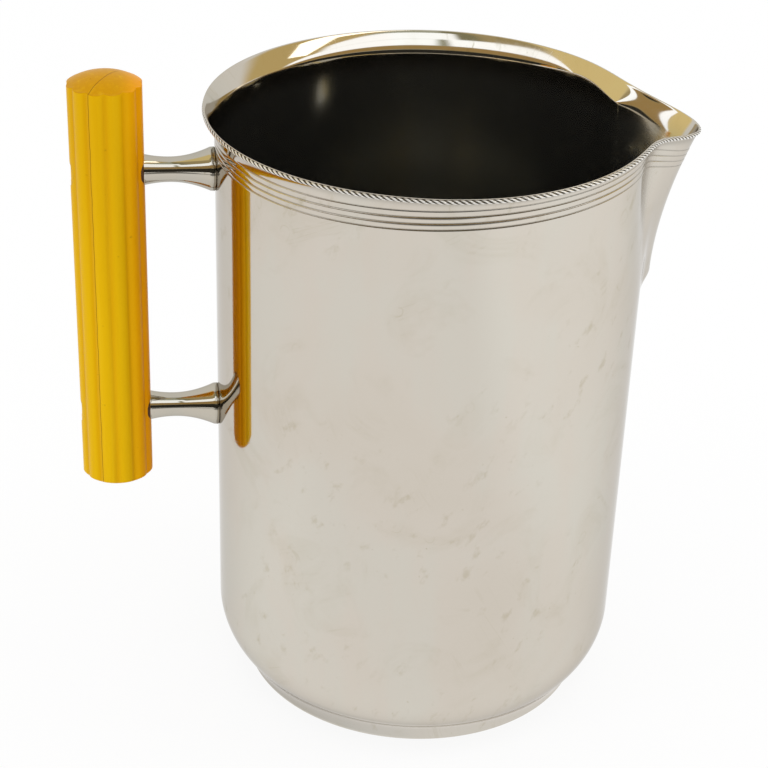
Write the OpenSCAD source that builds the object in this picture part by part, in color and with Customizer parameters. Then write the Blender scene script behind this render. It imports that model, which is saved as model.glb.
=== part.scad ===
// Straight-sided metal water pitcher with a raised spout and a reeded bar handle.
// The origin is the centre of the foot, on the body's axis, +Z up.
// The handle stands towards -X and the spout points towards +X.

/* [Body] */
// Outside diameter of the wall at the rim, before the lip is flared
body_top_d = 127; // [110:0.5:150]
// Outside diameter of the wall where the bottom corner starts
body_low_d = 125.6; // [110:0.2:150]
// Height of the lip above the surface that the pitcher stands on
body_h = 186.8; // [175:0.2:230]
// Thickness of the drawn sheet
wall_t = 1.2; // [0.8:0.1:2]
// Radius of the large bottom corner
corner_r = 22; // [18:0.2:30]
// Angle that the large corner turns through
corner_turn = 41; // [30:1:46]
// Radius of the tight bend between the corner and the flat bottom
bend_r = 4; // [2.6:0.1:6]

/* [Foot] */
// Height of the flat bottom's underside above the surface that the foot stands on
foot_h = 6.5; // [4:0.1:10]
// Thickness of the foot ring where it stands
foot_t = 3; // [2:0.1:6]
// Distance of the standing edge inside the edge of the flat bottom
foot_inset = 0.4; // [0:0.1:2]
// Rounding of the foot ring's lower edges
foot_round = 0.5; // [0.2:0.1:0.9]
// Angle past the corner at which the foot ring's upper edge lies
foot_lap = 5; // [2:1:20]
// Power of the hollow curve between the foot's two edges
foot_hollow = 1.3; // [1:0.1:2]

/* [Lip] */
// How far the lip flares outwards from the wall
lip_flare = 3.4; // [1.5:0.1:4.5]
// Height of the flared stretch of wall
lip_h = 7.1; // [6:0.1:11]
// Angle from the spout at which the flare begins to open
flare_start = 15; // [12:1:40]
// Angle from the spout at which the flare is fully open
flare_full = 86; // [60:1:110]
// Number of lines cut round the lip
groove_count = 4; // [1:1:4]
// Distance of the first line below the lip, halfway between spout and handle
groove_first = 4.6; // [4.3:0.1:5]
// Distance from one line to the next
groove_pitch = 1.83; // [1.2:0.01:2]
// Width of a line
groove_w = 0.5; // [0.3:0.05:0.8]
// Depth of a line
groove_depth = 0.25; // [0.1:0.05:0.4]
// How far the lines climb from there towards the spout, and fall towards the handle
groove_slant = 2; // [0:0.1:2.2]

/* [Rope edge] */
// Height of the rope wire
rope_h = 1.5; // [1:0.1:2.2]
// How far the rope wire stands out from the lip
rope_proud = 0.8; // [0.6:0.1:1.8]
// Distance of the rope wire's top below the lip
rope_drop = 0.15; // [0.05:0.05:0.5]

/* [Spout] */
// How far the spout's nose stands out from the wall at the lip
spout_reach = 14.6; // [9:0.1:18]
// How far the spout's nose stands out just above its lower end
spout_low_reach = 4.3; // [2:0.1:6]
// Length of the spout's nose below the lip
spout_h = 52; // [40:0.2:70]
// Height over which the lower end closes onto the wall
spout_end_h = 8; // [4:0.2:12]
// Angle from the nose at which the spout's bulge has fallen to 1/e, at the lip
spout_angle = 14.2; // [10:0.1:16]
// The same angle at the spout's lower end
spout_low_angle = 6.5; // [6:0.1:12]
// How far the nose lies below the rest of the lip
spout_dip = 6.4; // [2:0.1:9]
// Angle from the nose at which that dip has fallen to 1/e
dip_angle = 17.5; // [11:0.1:20]
// Power of the curve that the nose follows upwards
nose_power = 1.9; // [1.2:0.1:2.4]
// How much further the cut lines dip towards the nose than the lip does
line_dip = 4.1; // [0:0.1:5]
// Depth of the hollow in the wall beside the spout
side_hollow = 1.9; // [0:0.1:2.4]
// Angle from the nose at which the hollow is deepest
side_angle = 20; // [16:0.5:24]
// Angle over which the hollow falls to 1/e towards the wall
side_fade = 11.3; // [8:0.1:18]
// Angle over which the hollow falls to 1/e towards the nose
side_rise = 4; // [3:0.5:8]
// Distance below the lip at which the hollow reaches its full depth
side_full = 6.8; // [6:0.1:20]
// Distance below the lip over which the hollow fades out again
side_end = 6.3; // [4:0.1:7.5]

/* [Struts] */
// Distance of the upper strut's axis below the lip
upper_drop = 18.6; // [17.8:0.2:36]
// Distance between the axes of the two struts
strut_spacing = 77.5; // [60:0.5:90]
// Diameter of a strut where it meets the grip
strut_grip_d = 9; // [8:0.1:11]
// Diameter of a strut at its waist
strut_waist_d = 7.3; // [6.4:0.1:8]
// Diameter of a strut's flange at the wall
strut_flange_d = 12.8; // [11:0.1:16]
// Distance of the waist from the grip end
strut_waist_at = 7.5; // [4:0.1:12]
// Length of the flange's straight edge at the wall
strut_land = 1.4; // [1:0.1:2.5]

/* [Grip] */
// Diameter of the grip across its reeds
grip_d = 21.6; // [18:0.2:28]
// Distance of the grip's axis from the wall at the lip
grip_out = 30.6; // [26:0.1:48]
// Length of the reeds below the lower strut's axis
grip_under = 21.1; // [14:0.1:30]
// Length of the reeds between the two domed ends
grip_len = 124.8; // [115:0.1:140]
// Height of each domed end
dome_h = 3.2; // [1.5:0.1:6]
// Number of reeds round the grip
reed_count = 12; // [8:2:16]
// Depth of the valleys between the reeds
reed_depth = 0.7; // [0.3:0.05:0.9]

/* [Handle fixings] */
// Diameter of the fixing screws
screw_d = 4; // [3:0.1:4.4]
// Length of thread held in a strut
thread_len = 8; // [5:0.5:11]
// Diameter of a screw's head
head_d = 7; // [6:0.1:8]
// Height of a screw's head
head_h = 2.6; // [2:0.1:3]
// Width of the slot in a screw's head
slot_w = 1; // [0.6:0.1:1.4]
// Depth of the slot in a screw's head
slot_depth = 1.1; // [0.6:0.1:1.5]
// Thickness of the washer under a screw's head
washer_t = 0.8; // [0.5:0.1:1.2]
// Distance of the washer's seat beyond the grip's axis
seat_out = 3.6; // [2:0.1:4]
// Thickness of the fibre washer between a strut and the grip
gasket_t = 0.6; // [0.4:0.1:1]
// Depth of the flat spot in the grip that the fibre washer seats on
spot_depth = 0.5; // [0.3:0.05:0.8]
// Diameter of the plug that closes a screw's hole
plug_d = 8.6; // [8.4:0.1:9.6]
// How far a plug lies below the reeds
plug_sunk = 0.25; // [0:0.05:0.6]

/* [Fits] */
// Gap left for solder between joined metal pieces
solder_gap = 0.03; // [0.02:0.01:0.08]
// Gap round a screw, a plug or a washer in its hole
hole_gap = 0.1; // [0.05:0.05:0.2]
// Gap between the bottom of a hole and the end of what goes into it
end_gap = 0.5; // [0.2:0.1:1]

/* [Hidden] */
$fn = 96;

top_r = body_top_d / 2;
low_r = body_low_d / 2;
grip_r = grip_d / 2;

// Steps of the drawn curves
arc_steps = 12;
bend_steps = 6;
rope_steps = 6;
lip_steps = 3;
spout_steps = 6;
near_spout = 40;
near_step = 2;
far_step = 5;

// Centres of the bottom corner's two arcs
corner_x = low_r - corner_r;
corner_z = foot_h + bend_r + (corner_r - bend_r) * sin(corner_turn);
bend_x = corner_x + (corner_r - bend_r) * cos(corner_turn);
bend_z = foot_h + bend_r;
foot_r = bend_x - foot_inset;

// Heights along the spout's nose
spout_low_z = body_h - spout_h;
spout_end_z = spout_low_z - spout_end_h;

// Upper and lower edges of the rope wire, where the wall has a row too
rope_top_z = body_h - rope_drop;
rope_low_z = rope_top_z - rope_h;

// Upper edge of the first cut line, and a row below the last one
line_top_z = body_h - groove_first + groove_w / 2;
line_end_z = body_h - groove_first - groove_count * groove_pitch;

// The lower wall is a plain turned form and ends just under the spout.
// The upper wall sits on it with a thin tongue sunk into the sheet.
seam_drop = 1;
seam_z = spout_end_z - seam_drop;
tongue_h = 2;
tongue_slip = wall_t / 4;
seam_slip = 0.06;

// Heights of the struts and of the grip's lower edge, hung from the lip
upper_z = body_h - upper_drop;
lower_z = upper_z - strut_spacing;
grip_low_z = lower_z - grip_under;

// Radial places along a strut's axis, measured from the body's axis
grip_reach = top_r + grip_out;
valley_r = grip_r - reed_depth;
spot_s = grip_reach - valley_r + spot_depth;
strut_end_s = spot_s - gasket_t;
seat_s = grip_reach + seat_out;
head_s = seat_s + washer_t;
head_end_s = head_s + head_h;
plug_s = head_end_s + end_gap / 2;
thread_end_s = strut_end_s - thread_len;

// Reeds are round bars that meet at the valley radius
reed_half = 180 / reed_count;
reed_at = (grip_r * grip_r - valley_r * valley_r) / (2 * (grip_r - valley_r * cos(reed_half)));
reed_r = grip_r - reed_at;
dome_r = (grip_r * grip_r + dome_h * dome_h) / (2 * dome_h);

metal = [0.80, 0.77, 0.72];
resin = [0.84, 0.64, 0.08];
steel = [0.55, 0.55, 0.56];
brass = [0.76, 0.62, 0.30];
fibre = [0.25, 0.12, 0.06];

// Eases from 0 to 1 as t goes from 0 to 1
function ease(t) = let (c = max(0, min(1, t))) c * c * (3 - 2 * c);

// Bell curve that is 1 at the nose and 1/e at the given angle
function bell(a, width) = exp(-pow(a / width, 2));

// Outside radius of the plain tapered wall at a height
function wall_r(z) = low_r + (top_r - low_r) * (z - corner_z) / (body_h - corner_z);

// Share of the spout's height, from 0 at its lower end to 1 at the lip
function spout_share(z) = max(0, (z - spout_low_z) / spout_h);

// How far the nose stands out from the wall at a height
function nose_out(z) =
    (spout_low_reach + (spout_reach - spout_low_reach) * pow(spout_share(z), nose_power))
    * ease((z - spout_end_z) / spout_end_h);

// How far the flared lip stands out from the wall, a degrees from the nose
function flare_out(a, z) =
    lip_flare * ease((a - flare_start) / (flare_full - flare_start))
    * pow(max(0, (z - body_h + lip_h) / lip_h), 2);

// Angle at which the spout's bulge has fallen to 1/e at a height
function spout_width(z) = spout_low_angle + (spout_angle - spout_low_angle) * spout_share(z);

// Depth of the hollow beside the spout, which rises from the spout's lower end and ends at the lip
function hollow_in(a, z) =
    side_hollow * bell(a - side_angle, a > side_angle ? side_fade : side_rise)
    * ease((z - spout_low_z) / (spout_h - side_full)) * ease((body_h - z) / side_end);

// Height at which a row meets the wall: the cut lines slant and sag at the nose, the rope does not
function sag_z(a, z) =
    z - (line_dip * bell(a, dip_angle) - groove_slant * cos(a))
    * ease((z - spout_low_z) / (spout_h - lip_h)) * ease((rope_low_z - z) / (rope_low_z - line_top_z));

// Outside radius of the upper wall, a degrees from the nose
function skin_r(a, z) =
    wall_r(z) + flare_out(a, z) - hollow_in(a, z) + nose_out(z) * bell(a, spout_width(z));

// Height that a line of the wall takes where the lip dips towards the nose
function skin_z(a, z) = z - spout_dip * bell(a, dip_angle) * spout_share(z);

// Columns of the upper wall, close together near the spout
columns = concat(
    [for (a = [-near_spout : near_step : near_spout - near_step]) a],
    [for (a = [near_spout : far_step : 360 - near_spout - far_step]) a]
);

// Angle between a column and the nose, from 0 to 180
function from_nose(a) = a > 180 ? 360 - a : abs(a);

// One closed solid from rows of [inset, height], carried round the body.
// The rows run up the outside and down the inside, or the other way with downwards set.
module ring_sheet(rows, downwards = false) {
    count = len(columns);
    points = [
        for (row = rows)
            for (a = columns)
                let (d = from_nose(a), z = sag_z(d, row[1]), r = skin_r(d, z) - row[0])
                    [r * cos(a), r * sin(a), skin_z(d, z)]
    ];
    faces = [
        for (i = [0 : len(rows) - 1])
            for (j = [0 : count - 1])
                let (
                    i2 = (i + 1) % len(rows),
                    j2 = (j + 1) % count,
                    p = i * count + j,
                    q = i * count + j2,
                    s = i2 * count + j,
                    t = i2 * count + j2
                )
                    each downwards ? [[p, q, s], [q, t, s]] : [[p, s, q], [q, s, t]]
    ];
    polyhedron(points = points, faces = faces);
}

// Heights at which the spout's curve needs a row
spout_rows = concat(
    [for (k = [0 : spout_steps]) spout_end_z + spout_end_h * k / spout_steps],
    [for (k = [1 : spout_steps]) spout_low_z + (line_end_z - spout_low_z) * k / spout_steps]
);

// Rows across the cut lines, from the lowest line upwards
groove_rows = [
    for (k = [groove_count - 1 : -1 : 0])
        let (z = body_h - groove_first - k * groove_pitch)
            each [[0, z - groove_w / 2], [groove_depth, z], [0, z + groove_w / 2]]
];

// Sheet of the upper wall: up the outside, over the lip and down the inside
module upper_wall() {
    ring_sheet(concat(
        [[tongue_slip, seam_z - tongue_h], [seam_slip, seam_z]],
        [for (z = spout_rows) [0, z]],
        groove_rows,
        [[0, rope_low_z], [0, rope_top_z], [0, body_h]],
        [for (k = [0 : lip_steps]) [wall_t, body_h - lip_h * k / lip_steps]],
        [for (k = [len(spout_rows) - 1 : -1 : 0]) [wall_t, spout_rows[k]]],
        [[wall_t - seam_slip, seam_z], [wall_t - tongue_slip, seam_z - tongue_h]]
    ));
}

// Points of the bottom corner, drawn a distance inside the outer face
function corner_points(inside) = concat(
    [for (k = [0 : bend_steps])
        let (a = 90 - (90 - corner_turn) * k / bend_steps)
            [bend_x + (bend_r - inside) * cos(a), bend_z - (bend_r - inside) * sin(a)]],
    [for (k = [1 : arc_steps])
        let (a = corner_turn * (1 - k / arc_steps))
            [corner_x + (corner_r - inside) * cos(a), corner_z - (corner_r - inside) * sin(a)]]
);

// Turned lower wall with its flat bottom and rounded corner
module lower_wall() {
    inner = corner_points(wall_t);
    rotate_extrude()
        polygon(concat(
            [[0, foot_h]],
            corner_points(0),
            [[wall_r(seam_z), seam_z], [wall_r(seam_z) - wall_t, seam_z]],
            [for (k = [len(inner) - 1 : -1 : 0]) inner[k]],
            [[0, foot_h + wall_t]]
        ));
}

module body_shell() {
    color(metal)
        union() {
            lower_wall();
            upper_wall();
        }
}

// Ring soldered under the bottom: a hollow outer face that runs up to the corner,
// and a top that follows the tight bend with the solder gap
module foot_ring() {
    inner_r = foot_r - foot_t;
    seat_r = bend_r + solder_gap;
    lap_a = corner_turn + foot_lap;
    edge = [bend_x + seat_r * cos(lap_a), bend_z - seat_r * sin(lap_a)];
    color(metal)
        rotate_extrude()
            polygon(concat(
                [[inner_r, foot_h - solder_gap], [inner_r, foot_round], [inner_r + foot_round, 0]],
                [[foot_r - foot_round, 0]],
                [for (k = [0 : bend_steps - 1])
                    let (t = k / bend_steps)
                        [foot_r + (edge[0] - foot_r) * pow(t, foot_hollow),
                            foot_round + (edge[1] - foot_round) * t]],
                [for (k = [0 : bend_steps])
                    let (a = lap_a + (90 - lap_a) * k / bend_steps)
                        [bend_x + seat_r * cos(a), bend_z - seat_r * sin(a)]]
            ));
}

// Half-round wire soldered round the outside of the lip and the spout
module rim_rope() {
    bulge = [
        for (k = [0 : rope_steps])
            let (a = 180 * k / rope_steps)
                [-solder_gap - rope_proud * sin(a), rope_top_z - rope_h * (1 - cos(a)) / 2]
    ];
    color(metal)
        ring_sheet(bulge, downwards = true);
}

// Places its children along the handle side of the body at a height, with local +Z outwards
module outwards(z) {
    translate([0, 0, z])
        rotate([0, -90, 0])
            children();
}

// Turned strut: a flange on the wall, a waist, and a flat end under the grip
module strut(z) {
    flange_s = wall_r(z) + strut_land;
    waist_s = strut_end_s - strut_waist_at;
    root_s = wall_r(z) - wall_t;
    flange_r = strut_flange_d / 2;
    waist_r = strut_waist_d / 2;
    end_r = strut_grip_d / 2;
    color(metal)
        difference() {
            outwards(z)
                rotate_extrude()
                    polygon(concat(
                        [[0, root_s], [flange_r, root_s]],
                        [for (k = [arc_steps : -1 : 0])
                            let (t = k / arc_steps)
                                [waist_r + (flange_r - waist_r) * t * t,
                                    waist_s - (waist_s - flange_s) * t]],
                        [for (k = [1 : bend_steps])
                            let (t = k / bend_steps)
                                [waist_r + (end_r - waist_r) * t * t,
                                    waist_s + (strut_end_s - waist_s) * t]],
                        [[0, strut_end_s]]
                    ));
            body_outside();
            outwards(z)
                translate([0, 0, thread_end_s - end_gap])
                    cylinder(d = screw_d + hole_gap, h = thread_len + 2 * end_gap);
        }
}

// Cone of the wall's outer face, with the solder gap, that a strut's flange is cut to
module body_outside() {
    translate([0, 0, corner_z])
        cylinder(
            r1 = wall_r(corner_z) + solder_gap,
            r2 = wall_r(body_h) + solder_gap,
            h = body_h - corner_z
        );
}

module upper_strut() {
    strut(upper_z);
}

module lower_strut() {
    strut(lower_z);
}

// Round bars set in a ring, with domed ends, standing on the grip's axis
module reeded_bar(shrink) {
    intersection() {
        union() {
            translate([0, 0, grip_low_z - dome_h])
                cylinder(r = valley_r - shrink, h = grip_len + 2 * dome_h);
            for (k = [0 : reed_count - 1])
                rotate([0, 0, reed_half * (2 * k + 1)])
                    translate([reed_at, 0, grip_low_z - dome_h])
                        cylinder(r = reed_r - shrink, h = grip_len + 2 * dome_h);
        }
        translate([0, 0, grip_low_z])
            union() {
                cylinder(r = 2 * grip_r, h = grip_len);
                translate([0, 0, grip_len + dome_h - dome_r])
                    sphere(r = dome_r);
                translate([0, 0, dome_r - dome_h])
                    sphere(r = dome_r);
            }
    }
}

// Holes in the grip at one strut: spot face, screw hole and the hole for head and plug
module fixing_holes(z) {
    outwards(z) {
        translate([0, 0, strut_end_s - grip_r])
            cylinder(d = strut_grip_d + 2 * hole_gap, h = spot_s - strut_end_s + grip_r);
        translate([0, 0, strut_end_s])
            cylinder(d = screw_d + 2 * hole_gap, h = seat_s - strut_end_s + end_gap);
        translate([0, 0, seat_s])
            cylinder(d = plug_d + hole_gap, h = grip_d);
    }
}

module grip() {
    color(resin)
        difference() {
            translate([-grip_reach, 0, 0])
                reeded_bar(0);
            fixing_holes(upper_z);
            fixing_holes(lower_z);
        }
}

// Fibre washer between a strut's end and the grip
module gasket(z) {
    color(fibre)
        outwards(z)
            translate([0, 0, strut_end_s])
                difference() {
                    cylinder(d = strut_grip_d, h = gasket_t);
                    translate([0, 0, -end_gap])
                        cylinder(d = screw_d + 2 * hole_gap, h = gasket_t + 2 * end_gap);
                }
}

module upper_gasket() {
    gasket(upper_z);
}

module lower_gasket() {
    gasket(lower_z);
}

// Slotted screw from the grip's outer side into the strut
module screw(z) {
    color(steel)
        outwards(z)
            difference() {
                union() {
                    translate([0, 0, thread_end_s])
                        cylinder(d = screw_d, h = head_s - thread_end_s + head_h / 2);
                    translate([0, 0, head_s])
                        cylinder(d = head_d, h = head_h);
                }
                translate([-head_d, -slot_w / 2, head_end_s - slot_depth])
                    cube([2 * head_d, slot_w, slot_depth + end_gap]);
            }
}

module upper_screw() {
    screw(upper_z);
}

module lower_screw() {
    screw(lower_z);
}

// Brass washer under a screw's head
module washer(z) {
    color(brass)
        outwards(z)
            translate([0, 0, seat_s])
                difference() {
                    cylinder(d = plug_d - hole_gap, h = washer_t);
                    translate([0, 0, -end_gap])
                        cylinder(d = screw_d + 2 * hole_gap, h = washer_t + 2 * end_gap);
                }
}

module upper_washer() {
    washer(upper_z);
}

module lower_washer() {
    washer(lower_z);
}

// Plug over a screw's head, trimmed a little below the reeds
module plug(z) {
    color(resin)
        intersection() {
            outwards(z)
                translate([0, 0, plug_s])
                    cylinder(d = plug_d, h = grip_d);
            translate([-grip_reach, 0, 0])
                reeded_bar(plug_sunk);
        }
}

module upper_plug() {
    plug(upper_z);
}

module lower_plug() {
    plug(lower_z);
}

body_shell();
foot_ring();
rim_rope();
upper_strut();
lower_strut();
grip();
upper_gasket();
lower_gasket();
upper_screw();
lower_screw();
upper_washer();
lower_washer();
upper_plug();
lower_plug();
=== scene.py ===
"""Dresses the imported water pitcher: polished body, rope edge, struts and reeded resin grip.

The origin is the centre of the foot, +Z up. The handle stands towards -X and the spout points
towards +X. Sizes are in millimetres and angles in degrees until a mesh is made, in metres.
"""

import logging
from dataclasses import dataclass, field
from enum import Enum
from typing import Any, Mapping, Optional, Union

import bpy
import numpy as np
from mathutils import Matrix, Vector


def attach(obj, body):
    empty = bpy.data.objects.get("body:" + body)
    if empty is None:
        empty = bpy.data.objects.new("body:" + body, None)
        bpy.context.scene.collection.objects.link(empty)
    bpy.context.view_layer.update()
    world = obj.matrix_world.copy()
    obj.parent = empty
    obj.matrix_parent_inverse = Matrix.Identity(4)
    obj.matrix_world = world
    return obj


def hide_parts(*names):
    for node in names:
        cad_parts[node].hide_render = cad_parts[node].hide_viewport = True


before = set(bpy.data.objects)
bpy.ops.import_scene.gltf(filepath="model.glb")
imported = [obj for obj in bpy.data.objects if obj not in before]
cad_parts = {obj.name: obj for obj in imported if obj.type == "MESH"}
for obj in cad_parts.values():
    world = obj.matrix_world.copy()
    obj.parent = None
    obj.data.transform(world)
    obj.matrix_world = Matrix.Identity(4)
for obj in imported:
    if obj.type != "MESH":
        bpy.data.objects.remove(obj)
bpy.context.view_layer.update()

Array = np.ndarray
Colour = tuple[float, float, float]
Piece = bpy.types.Object
Socket = bpy.types.NodeSocket
Material = bpy.types.Material
MM = 0.001
log = logging.getLogger("pitcher")


class Slot(Enum):
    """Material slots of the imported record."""

    BODY = "body_metal"
    ROPE = "rope_metal"
    STRUT = "strut_metal"
    GRIP = "grip_resin"


def ease(t: Array) -> Array:
    """Smooth step: 3t^2 - 2t^3 with t held between 0 and 1."""
    c = np.clip(t, 0.0, 1.0)
    return c * c * (3.0 - 2.0 * c)


def arc(start: float, end: float, count: int) -> tuple[Array, Array]:
    """Cosines and sines of count angles, spaced evenly from start to end in degrees."""
    angles = np.radians(np.linspace(start, end, count))
    return np.cos(angles), np.sin(angles)


def bell(distance: Array, width: Union[Array, float]) -> Array:
    """Bell curve: e to the power of minus the square of distance over width."""
    return np.exp(-(distance / width) ** 2)


def revolve(r: Array, turn: Array, z: Array) -> Array:
    """Points round the axis: (r cos t, r sin t, z), with the directions t in radians."""
    return np.stack(np.broadcast_arrays(r * np.cos(turn), r * np.sin(turn), z), axis=-1)


def unit(vectors: Array) -> Array:
    """Vectors divided by their lengths."""
    return vectors / np.linalg.norm(vectors, axis=-1, keepdims=True)


class Draft:
    """Points and faces of one piece, gathered as whole arrays and made into one mesh."""

    def __init__(self, name: str) -> None:
        """Starts an empty piece with that name."""
        self.name = name
        self.points: list[Array] = []
        self.quads: list[Array] = []
        self.triangles: list[Array] = []
        self.marks: dict[str, list[Array]] = {}
        self.count = 0

    def lay(self, points: Array, **marks: Array) -> Array:
        """Adds points and returns their indices in the same layout.

        Args:
            points: Points in millimetres, xyz on the last axis.
            marks: Values from 0 to 1 for each point, kept as attributes.

        Returns:
            Index of each point, in the layout of points without its last axis.
        """
        shape = points.shape[:-1]
        size = int(np.prod(shape))
        self.points.append(points.reshape(-1, 3))
        for key in sorted(set(self.marks) | set(marks)):
            row = self.marks.setdefault(key, [np.zeros(self.count)] if self.count else [])
            row.append(np.broadcast_to(marks.get(key, np.zeros(shape)), shape).reshape(-1))
        index = np.arange(self.count, self.count + size).reshape(shape)
        self.count += size
        return index

    def weave(self, index: Array, skip: Optional[Array] = None, rows_closed: bool = False,
              columns_closed: bool = True) -> None:
        """Joins a grid of points with quads.

        Args:
            index: Grid of indices, rows along the surface and columns round it.
            skip: True where the quad that starts at a grid point is left out.
            rows_closed: Whether the last row joins the first.
            columns_closed: Whether the last column joins the first.
        """
        grid = np.concatenate([index, index[:1]]) if rows_closed else index
        if columns_closed:
            grid = np.concatenate([grid, grid[:, :1]], axis=1)
        quads = np.stack([grid[:-1, :-1], grid[:-1, 1:], grid[1:, 1:], grid[1:, :-1]], axis=-1)
        if skip is not None:
            quads = quads[~skip[:quads.shape[0], :quads.shape[1]]]
        self.quads.append(quads.reshape(-1, 4))

    def close(self, ring: Array, point: Array, last: bool, **marks: Array) -> None:
        """Closes a ring with triangles to one point.

        Args:
            ring: Indices round the ring.
            point: The pole, in millimetres.
            last: Whether the pole follows the last row and not the first.
            marks: Attribute values of the pole.
        """
        pole = np.full_like(ring, self.lay(np.asarray(point, float)[None], **marks)[0])
        after = np.roll(ring, -1)
        corners = [pole, ring, after] if last else [pole, after, ring]
        self.triangles.append(np.stack(corners, axis=-1))

    def make(self) -> Piece:
        """Makes the smooth-shaded object, in metres, at the origin."""
        mesh = bpy.data.meshes.new(self.name)
        points = np.concatenate(self.points) * MM
        faces = sum((block.tolist() for block in (*self.quads, *self.triangles)), [])
        mesh.from_pydata(points.tolist(), [], faces)
        for key, rows in self.marks.items():
            values = np.concatenate(rows).astype(np.float32)
            mesh.attributes.new(key, "FLOAT", "POINT").data.foreach_set("value", values)
        mesh.polygons.foreach_set("use_smooth", np.ones(len(mesh.polygons), bool))
        mesh.update()
        piece = bpy.data.objects.new(self.name, mesh)
        bpy.context.scene.collection.objects.link(piece)
        log.info("%s: %d points, %d faces", self.name, len(points), len(faces))
        return piece


Value = Union["Signal", float]


class Signal:
    """One number in a node tree. Arithmetic on it adds Math nodes."""

    def __init__(self, kit: "NodeKit", socket: Socket) -> None:
        """Wraps an output socket of a tree."""
        self.kit = kit
        self.socket = socket

    def math(self, operation: str, *values: Value) -> "Signal":
        """Adds one Math node with this operation on these values."""
        made = self.kit.node("ShaderNodeMath", {"operation": operation}, dict(enumerate(values)))
        return Signal(self.kit, made.outputs[0])

    def __add__(self, other: Value) -> "Signal":
        """Sum."""
        return self.math("ADD", self, other)

    __radd__ = __add__

    def __mul__(self, other: Value) -> "Signal":
        """Product."""
        return self.math("MULTIPLY", self, other)

    __rmul__ = __mul__

    def __sub__(self, other: Value) -> "Signal":
        """Difference."""
        return self.math("SUBTRACT", self, other)

    def __rsub__(self, other: Value) -> "Signal":
        """Difference from a number."""
        return self.math("SUBTRACT", other, self)

    def __truediv__(self, other: Value) -> "Signal":
        """Quotient."""
        return self.math("DIVIDE", self, other)

    def __pow__(self, other: Value) -> "Signal":
        """Power."""
        return self.math("POWER", self, other)

    def __abs__(self) -> "Signal":
        """Distance from zero."""
        return self.math("ABSOLUTE", self)

    def least(self, other: Value) -> "Signal":
        """Smaller of the two."""
        return self.math("MINIMUM", self, other)

    def most(self, other: Value) -> "Signal":
        """Larger of the two."""
        return self.math("MAXIMUM", self, other)

    def step(self, low: float, high: float) -> "Signal":
        """Smooth step from 0 at low to 1 at high, or the other way where high is below low.

        Args:
            low: Value that gives 0.
            high: Value that gives 1.

        Returns:
            The stepped value.
        """
        flip = high < low
        made = self.kit.node(
            "ShaderNodeMapRange", {"interpolation_type": "SMOOTHSTEP"},
            {"Value": self, "From Min": min(low, high), "From Max": max(low, high),
             "To Min": float(flip), "To Max": float(not flip)})
        return Signal(self.kit, made.outputs[0])


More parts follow.
